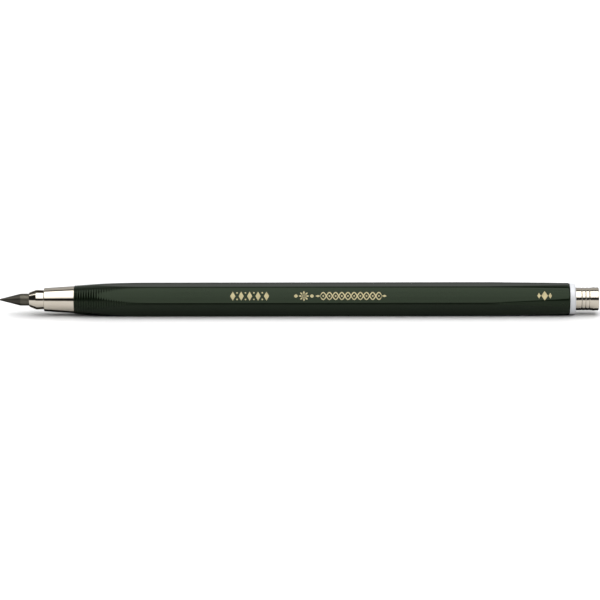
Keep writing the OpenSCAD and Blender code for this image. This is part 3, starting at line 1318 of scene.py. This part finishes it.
class Clutch(Assembly):
    """The collet with its three jaws, the tube that carries it, and the spring that draws it back."""

    form = JawForm()
    spring_form = SpringForm()

    def __init__(self, finishes: Finishes, nose: Nose) -> None:
        """Takes the lengths from the frame and the seat from the nose.

        Args:
            finishes: Where materials come from.
            nose: The nose, whose cone closes the jaws.
        """
        super().__init__(finishes)
        self.nose = nose
        lead_r = AXIS.radius("lead")
        self.bore_r = lead_r + self.form.lead_gap
        self.shank_bore_r = lead_r + self.form.shank_gap
        self.shank_r = self.bore_r + self.form.shank_wall
        self.front, self.root = AXIS.span("jaw_1")

    def outside(self) -> Array:
        """The jaws' outer outline: front cone, head, closing cone, throat and shank.

        Returns:
            Rows of station and radius.
        """
        f, nose = self.form, self.nose
        corners = [
            Corner(self.front, self.bore_r + f.tip_wall),
            Corner(self.front + f.front_cone, self.bore_r + f.head_wall, 0.5),
            Corner(nose.front - f.seat_gap, nose.mouth_r - f.seat_gap, 0.1),
            Corner(nose.seat_end, nose.form.seat_r - f.seat_gap, 0.2),
            Corner(nose.seat_end + 0.2, self.shank_r, 0.2),
            Corner(self.root, self.shank_r),
        ]
        return outline(corners, steps=8, closed=False)

    def inside(self) -> Array:
        """The jaws' bore: a chamfered mouth, saw-tooth grooves that bite on the lead, and the wider shank.

        Returns:
            Rows of station and radius.
        """
        f, seat_end = self.form, self.nose.seat_end
        starts = seat_end - 0.5 - np.arange(f.teeth)[::-1] * f.tooth_pitch
        starts = starts[starts - f.tooth_pitch / 2 > self.front + 0.3]
        quarter = f.tooth_pitch / 4
        steps = np.stack([starts - 2 * quarter, starts - quarter, starts], axis=1).ravel()
        deep = np.tile([0.0, f.tooth_depth, 0.0], len(starts))
        ends = [[self.front, self.bore_r + 0.1], [self.front + 0.1, self.bore_r]]
        wide = self.shank_bore_r
        shank = [[seat_end - 0.1, self.bore_r], [seat_end, wide], [self.root, wide]]
        return np.concatenate([ends, np.column_stack([steps, self.bore_r + deep]), shank])

    def jaw(self, number: int) -> None:
        """Builds and dresses one jaw.

        Every station is a loop: the outer arc, a broken edge, the flat side of the saw cut, the inner arc
        and back. A saw cut's sides are parallel, so at radius r an arc ends at 60 degrees less
        arcsin(half slot / r). At both ends the loop closes onto the middle of the wall.

        Args:
            number: The jaw's number, from 1.
        """
        f = self.form
        outer, inner = self.outside(), self.inside()
        edge = self.front + f.front_edge * (1 - np.cos(np.linspace(0, math.pi / 2, 6)))
        shank = np.linspace(outer[-2, 0], self.root - 0.05, 24)
        s = np.unique(np.round(np.concatenate([outer[:, 0], inner[:, 0], edge, shank]), 4))[:, None]
        big = np.interp(s, outer[:, 0], outer[:, 1])
        small = np.interp(s, inner[:, 0], inner[:, 1])
        near = np.clip(f.front_edge - (s - self.front), 0, f.front_edge)
        big = big - f.front_edge + np.sqrt(f.front_edge**2 - near**2)

        def limit(r: Array) -> Array:
            """Returns the angle at which the saw cut's side meets radius r."""
            return math.pi / 3 - np.arcsin(f.slot / 2 / r)

        t = np.linspace(-1, 1, f.arc)[None, :]
        arc_end = limit(big) - f.deburr / big
        outer_a, outer_r = t * arc_end, np.broadcast_to(big, (len(s), f.arc))
        drop = f.deburr * np.array([0.3, 1.0])[None, :]
        side_r = np.concatenate([big - drop, (big + small) / 2], axis=1)
        side_a = limit(side_r)
        side_a[:, 0] = (arc_end + 0.72 * (limit(big) - arc_end))[:, 0]
        inner_a, inner_r = -t * limit(small), np.broadcast_to(small, (len(s), f.arc))
        a = np.concatenate([outer_a, side_a, inner_a, -side_a[:, ::-1]], axis=1)
        r = np.concatenate([outer_r, side_r, inner_r, side_r[:, ::-1]], axis=1)
        middle_r = (big + small) / 2
        middle_end = limit(middle_r)
        there = np.concatenate([t * middle_end, np.tile(middle_end, 3)], axis=1)
        shut_a = np.concatenate([there, -there], axis=1)
        shut_r = np.broadcast_to(middle_r, shut_a.shape)
        s = np.concatenate([s[:1], s, s[-1:]])
        a = np.concatenate([shut_a[:1], a, shut_a[-1:]])
        r = np.concatenate([shut_r[:1], r, shut_r[-1:]])
        middle = math.radians(f.first_turn - 120 * (number - 1))
        node = f"jaw_{number}"
        piece = build(f"{node}_sawn", [Grid(AXIS.place(s, r, a + middle))], sharp=34)
        self.fit(piece, node, Look.COLLET, "brass", node)

    def ring(self) -> None:
        """Builds and dresses the collet's solid rear ring."""
        front, rear = AXIS.span("collet_ring")
        inner, outer = self.shank_bore_r, self.shank_r
        corners = [
            Corner(front, inner),
            Corner(front, outer, 0.04),
            Corner(rear, outer, 0.08),
            Corner(rear, inner + 0.1),
            Corner(rear - 0.3, inner),
        ]
        piece = build("collet_rear", [lathe(outline(corners), 96)])
        self.fit(piece, "clutch", Look.COLLET, "brass", "collet_ring")

    def sleeve(self, name: str, node: str, inner: float, edge: float) -> None:
        """Builds and dresses a plain steel sleeve with rounded outer edges.

        Args:
            name: The piece's name.
            node: The node that it stands for.
            inner: Radius of its bore.
            edge: Radius of its edges.
        """
        front, rear = AXIS.span(node)
        outer = AXIS.radius(node)
        ends = [(front, inner, 0.0), (front, outer, edge), (rear, outer, edge), (rear, inner, 0.0)]
        profile = outline([Corner(*end) for end in ends])
        self.fit(build(name, [lathe(profile, 96)]), "clutch", Look.STEEL, "steel", node)

    def spring(self) -> None:
        """Builds and dresses the spring: a round wire carried along a helix.

        The helix's pitch is a wire's thickness in the two end turns and even between them. The wire's ends
        are closed by a row that shrinks onto its middle.
        """
        f = self.spring_form
        rear = AXIS.span("spring_collar")[0]
        front = rear - f.length
        mean_r = AXIS.radius("lead_tube") + f.tube_gap + f.wire / 2
        t = np.linspace(0, f.turns, f.turns * f.turn_steps + 1)
        low, high = front + f.wire / 2 + f.end_gap, rear - f.wire / 2 - f.end_gap
        end_pitch = f.wire * f.end_pitch
        s = np.interp(t, [0, 1, f.turns - 1, f.turns], [low, low + end_pitch, high - end_pitch, high])
        around = np.linspace(0, FULL_TURN, f.wire_steps, endpoint=False)[None, :]
        reach = np.full(len(t), f.wire / 2)
        t, s, reach = (np.concatenate([v[:1], v, v[-1:]]) for v in (t, s, reach))
        reach[[0, -1]] = 0
        s = s[:, None] + reach[:, None] * np.sin(around)
        r = mean_r + reach[:, None] * np.cos(around)
        a = -t[:, None] * FULL_TURN
        piece = build("spring_wound", [Grid(AXIS.place(s, r, a))], sharp=50)
        self.fit(piece, "barrel", Look.SPRING, "steel", "clutch_spring")
        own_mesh(piece)

    def make(self) -> None:
        """Builds every piece of the clutch."""
        for number in (1, 2, 3):
            self.jaw(number)
        self.ring()
        collar_bore = AXIS.radius("lead_tube") + self.form.collar_gap
        self.sleeve("tube_drawn", "lead_tube", self.shank_r + self.form.tube_gap, 0.08)
        self.sleeve("collar_turned", "spring_collar", collar_bore, 0.12)
        self.spring()


@dataclass
class LeadForm:
    """The lead's sizes in millimetres.

    Attributes:
        cone: Length of the sharpened cone.
        blunt: Radius of its tip.
        edge: Rounding where the cone meets the stick, and of the rear edge.
        cut_fade: Length over which the fresh cut ends.
    """

    cone: float = 5.87
    blunt: float = 0.07
    edge: float = 0.12
    cut_fade: float = 0.25


class Lead(Assembly):
    """The stick of graphite with its sharpened cone."""

    form = LeadForm()

    def make(self) -> None:
        """Builds and dresses the lead: a cone with a blunt tip, a cylinder and a broken rear edge."""
        f = self.form
        tip, rear = AXIS.span("lead")
        r = AXIS.radius("lead")
        shoulder = tip + f.cone
        corners = [
            Corner(tip, 0.0),
            Corner(tip, f.blunt, 0.03),
            Corner(shoulder, r, f.edge),
            Corner(rear, r, f.edge),
            Corner(rear, 0.0),
        ]
        profile = outline(corners, closed=False)
        steps = np.linspace(tip + 0.3, shoulder - 0.2, 30)
        on_cone = np.column_stack([steps, np.interp(steps, [tip, shoulder], [f.blunt, r])])
        first = int(np.searchsorted(profile[:, 0], tip + 0.25))
        behind = profile[first:][profile[first:, 0] > steps[-1]]
        profile = np.concatenate([profile[:first], on_cone, behind])
        piece = build("graphite_stick", [lathe(profile, 96, hollow=False)], sharp=50)
        mark(piece, (shoulder + 0.1 - (coordinates(piece)[:, 0] - AXIS.front_x) / MM) / f.cut_fade)
        self.fit(piece, "lead", Look.GRAPHITE, "graphite", "lead")


@dataclass
class RearForm:
    """Sizes of the end ring and the push button in millimetres.

    Attributes:
        ring_edge: Radius of the ring's rear edge.
        bore_gap: Room between the ring and the button.
        spigot_wall: Wall of the ring's spigot.
        flare: How far the button's cap stands out.
        push_fit: Room between the button and the lead tube.
        grooves: Number of the button's grooves.
        groove_w: Width of the button's grooves.
        groove_depth: Depth of the button's grooves.
        first_groove: Distance from the ring to the first groove.
        pitch: Distance from groove to groove.
        edge: Radius of the button's rear edge.
        dome: Height of its domed end.
    """

    ring_edge: float = 0.9
    bore_gap: float = 0.08
    spigot_wall: float = 0.57
    flare: float = 0.1
    push_fit: float = 0.02
    grooves: int = 3
    groove_w: float = 0.3
    groove_depth: float = 0.12
    first_groove: float = 1.6
    pitch: float = 1.0
    edge: float = 0.35
    dome: float = 0.2


class Rear(Assembly):
    """The end ring and the push button."""

    form = RearForm()

    def __init__(self, finishes: Finishes) -> None:
        """Takes stations and radii from the frame.

        Args:
            finishes: Where materials come from.
        """
        super().__init__(finishes)
        self.barrel_end = AXIS.span("barrel")[1]
        self.ring_end = AXIS.span("end_ring")[1]
        self.button_r = AXIS.radius("push_button") - self.form.flare

    def ring(self) -> None:
        """Builds and dresses the end ring."""
        f = self.form
        start = AXIS.span("end_ring")[0]
        outer, bore = AXIS.radius("end_ring"), self.button_r + f.bore_gap
        spigot = bore + f.spigot_wall
        corners = [
            Corner(start, bore, 0.05),
            Corner(start, spigot, 0.1),
            Corner(self.barrel_end, spigot),
            Corner(self.barrel_end, outer, 0.06),
            Corner(self.ring_end, outer, f.ring_edge),
            Corner(self.ring_end, bore, 0.06),
        ]
        piece = build("ring_satin", [lathe(outline(corners, steps=12), 160)])
        self.fit(piece, "barrel", Look.SATIN, "satin_silver", "end_ring")

    def button(self) -> None:
        """Builds and dresses the push button: skirt, three grooves, a flared cap with a shallow dome."""
        f, r = self.form, self.button_r
        start, end = AXIS.span("push_button")
        bore = AXIS.radius("lead_tube") + f.push_fit
        floor = AXIS.span("lead_tube")[1] + 0.1
        flare_s = self.ring_end + f.first_groove + f.grooves * f.pitch
        cap_r, cap_end = r + f.flare / 2, end - f.dome
        corners = [Corner(start, bore), Corner(start, r, 0.1)]
        for s in self.ring_end + f.first_groove + np.arange(f.grooves) * f.pitch:
            corners += [
                Corner(s - f.groove_w / 2, r, 0.03),
                Corner(s, r - f.groove_depth, 0.05),
                Corner(s + f.groove_w / 2, r, 0.03),
            ]
        corners += [
            Corner(flare_s - 0.4, r, 0.2),
            Corner(flare_s, r + f.flare, 0.1),
            Corner(flare_s + 0.25, r + f.flare, 0.1),
            Corner(flare_s + 0.6, cap_r, 0.2),
            Corner(cap_end, cap_r, f.edge),
        ]
        rim = cap_r - f.edge
        sphere_r = (rim**2 + f.dome**2) / (2 * f.dome)
        profile = outline([*corners, Corner(cap_end, rim)], steps=8, closed=False)[:-1]
        reach = np.linspace(rim * 0.98, 0, 14)
        dome = np.column_stack([end - sphere_r + np.sqrt(sphere_r**2 - reach**2), reach])
        corner = [[floor, bore - 0.03], [floor, bore], [floor - 0.03, bore]]
        hollow = [[floor, 0.0], *corner, [start + 0.03, bore]]
        profile = np.concatenate([dome[::-1], profile[::-1], np.array(hollow)[::-1]])
        piece = build("button_turned", [lathe(profile, 144, hollow=False)])
        self.fit(piece, "button", Look.NICKEL, "nickel", "push_button")

    def make(self) -> None:
        """Builds both pieces."""
        self.ring()
        self.button()


# ---------------------------------------------------------------- studio


@dataclass
class Studio:
    """Floor, lights and camera. Lengths are metres.

    Attributes:
        elevation: The camera's height above the horizon in degrees.
        distance: From the camera to the holder.
        lens: Focal length in millimetres.
        aim: Station, in millimetres, that the camera looks at.
        low: How far below the axis it looks, in millimetres.
        roll: The camera's turn about its own line of sight in degrees.
        ceiling: Height of the lights.
        front_light: Mean radiance of the large light in front.
        front_reach: How high its front and back edges stand as seen from the holder, in degrees.
        front_strips: Number of strips it is made of.
        falloff: Share by which its first strip is dimmer, and its last brighter, than the mean.
        top_light: Radiance of the light overhead.
        top_back: Its back edge, as y.
        rear_light: Radiance of the light that only fills the floor behind.
        rear_back: Its back edge, as y.
        light_width: Width of every light along x.
        flag_reach: How far the black card reaches past the holder's ends.
        flag_near: The card's edge towards the front, as y.
        flag_far: The card's edge towards the back, as y.
        flag_height: The card's height above the floor.
        floor_r: Radius of the floor.
        floor_grey: Its paleness.
        room_grey: Paleness of the room in front.
        wall_grey: Paleness of the wall behind, low and high.
        wall_side: Where the wall starts, as the y of a direction.
        wall_rise: Between which heights it turns paler, as the z of a direction.
        skirting_grey: Paleness of the room near the floor.
        skirting_top: Between which heights that ends, as the z of a direction.
    """

    elevation: float = 15.5
    distance: float = 0.8667
    lens: float = 200.0
    aim: float = 58.58
    low: float = 0.2
    roll: float = -0.08
    ceiling: float = 1.5
    front_light: float = 2.4
    front_reach: tuple[float, float] = (27.0, 51.3)
    front_strips: int = 6
    falloff: float = 0.45
    top_light: float = 3.0
    top_back: float = 0.26
    rear_light: float = 2.4
    rear_back: float = 2.4
    light_width: float = 2.56
    flag_reach: float = 0.02
    flag_near: float = -0.0022
    flag_far: float = 0.005
    flag_height: float = 0.00002
    floor_r: float = 6.0
    floor_grey: float = 0.68
    room_grey: float = 0.025
    wall_grey: tuple[float, float] = (0.28, 0.7)
    wall_side: tuple[float, float] = (0.34, 0.46)
    wall_rise: tuple[float, float] = (0.22, 0.42)
    skirting_grey: float = 0.85
    skirting_top: tuple[float, float] = (0.06, 0.08)

    def camera(self) -> None:
        """Places the camera: straight in front of the holder's side, a little above it."""
        data = bpy.data.cameras.new("camera")
        data.lens = self.lens
        data.sensor_width = 36
        data.clip_start, data.clip_end = 0.01, 20
        seat = bpy.data.objects.new("camera", data)
        bpy.context.scene.collection.objects.link(seat)
        lift = math.radians(self.elevation)
        back = Vector((0, -math.cos(lift), math.sin(lift)))
        target = Vector((AXIS.front_x + self.aim * MM, 0, AXIS.height - self.low * MM))
        seat.location = target + back * self.distance
        seat.rotation_mode = "QUATERNION"
        roll = Quaternion((0, 0, 1), math.radians(self.roll))
        seat.rotation_quaternion = (-back).to_track_quat("-Z", "Y") @ roll
        bpy.context.scene.camera = seat

    def floor(self) -> None:
        """Lays a large pale floor at height 0."""
        a = np.linspace(0, FULL_TURN, 64, endpoint=False)
        r = np.array([0.0, self.floor_r])[:, None]
        points = np.stack(np.broadcast_arrays(r * np.cos(a), r * np.sin(a), 0.0 * a), axis=-1)
        floor = build("floor", [Grid(points)])
        inputs = {"Base_Color": grey(self.floor_grey), "Roughness": 0.95, "Specular_IOR_Level": 0.1}
        floor.data.materials.append(start_material("pale_floor", **inputs)[0])

    def flag(self) -> None:
        """Lays a thin black card under the holder that shows in reflections only: painted shadow standing in
        for the contact shadow beneath it, for dark lower edges.
        """
        x = np.array([cad_low.x - self.flag_reach, cad_high.x + self.flag_reach])[:, None]
        y = np.array([self.flag_near, self.flag_far])[None, :]
        points = np.stack(np.broadcast_arrays(x, y, np.full((2, 2), self.flag_height)), axis=-1)
        card = build("contact_shadow_card", [Grid(points, wrap_columns=False)])
        # Painted shadow: a black card seen only in reflections, where the shade under the holder would be.
        card.data.materials.append(start_material("painted_contact_shadow", Base_Color=grey(0.004), Roughness=1.0)[0])
        card.visible_camera = card.visible_diffuse = card.visible_shadow = False

    def panel(self, name: str, near: float, far: float, radiance: float, hidden: bool = False) -> None:
        """Hangs a soft rectangular light at the ceiling, facing down.

        Args:
            name: Its name.
            near: Its edge towards the front, as y.
            far: Its edge towards the back, as y.
            radiance: How bright it looks.
            hidden: Whether it stays out of reflections.
        """
        data = bpy.data.lights.new(name, "AREA")
        data.shape = "RECTANGLE"
        data.size, data.size_y = self.light_width, far - near
        data.energy = radiance * math.pi * data.size * data.size_y
        lamp = bpy.data.objects.new(name, data)
        lamp.location = (0, (near + far) / 2, self.ceiling)
        lamp.visible_camera = False
        lamp.visible_glossy = not hidden
        bpy.context.scene.collection.objects.link(lamp)

    def world(self) -> None:
        """Surrounds the scene with a dark room in front, grey behind, and white for the camera."""
        world = bpy.data.worlds.new("room")
        bpy.context.scene.world = world
        world.use_nodes = True
        nodes = Nodes(world.node_tree)
        direction = nodes.add("TexCoord").outputs["Generated"]
        split = nodes.add("SeparateXYZ", Vector=direction)
        behind = nodes.spread(split.outputs["Y"], *self.wall_side)
        high = nodes.spread(split.outputs["Z"], *self.wall_rise)
        wall = nodes.mix(high, grey(self.wall_grey[0]), grey(self.wall_grey[1]))
        upper = nodes.mix(behind, grey(self.room_grey), wall)
        skirting = nodes.spread(split.outputs["Z"], *self.skirting_top, 1.0, 0.0)
        room = nodes.mix(skirting, upper, grey(self.skirting_grey))
        seen = nodes.add("LightPath").outputs["Is Camera Ray"]
        background = nodes.add("Background", {}, Color=nodes.mix(seen, room, grey(1.0)))
        nodes.feed(nodes.add("OutputWorld"), "Surface", background.outputs[0])

    def make(self) -> None:
        """Builds the studio."""
        bpy.context.scene.view_settings.view_transform = "Standard"
        self.camera()
        self.floor()
        reach = np.linspace(*self.front_reach, self.front_strips + 1)
        edges = -self.ceiling / np.tan(np.radians(reach))
        for k in range(self.front_strips):
            share = k / (self.front_strips - 1)
            tone = 1 - self.falloff + 2 * self.falloff * share
            self.panel(f"front_softbox_{k + 1}", edges[k], edges[k + 1], self.front_light * tone)
        self.panel("top_softbox", float(edges[-1]), self.top_back, self.top_light)
        self.panel("rear_fill", self.top_back, self.rear_back, self.rear_light, hidden=True)
        self.flag()
        self.world()


def main() -> None:
    """Builds the studio and the holder."""
    logging.basicConfig(level=logging.INFO, format="%(message)s")
    build_effects()
    Studio().make()
    finishes = Finishes()
    barrel, nose = Barrel(finishes), Nose(finishes)
    front = (barrel, Ornaments(finishes, barrel), nose)
    for assembly in (*front, Clutch(finishes, nose), Lead(finishes), Rear(finishes)):
        assembly.make()


if __name__ == "__main__":
    main()
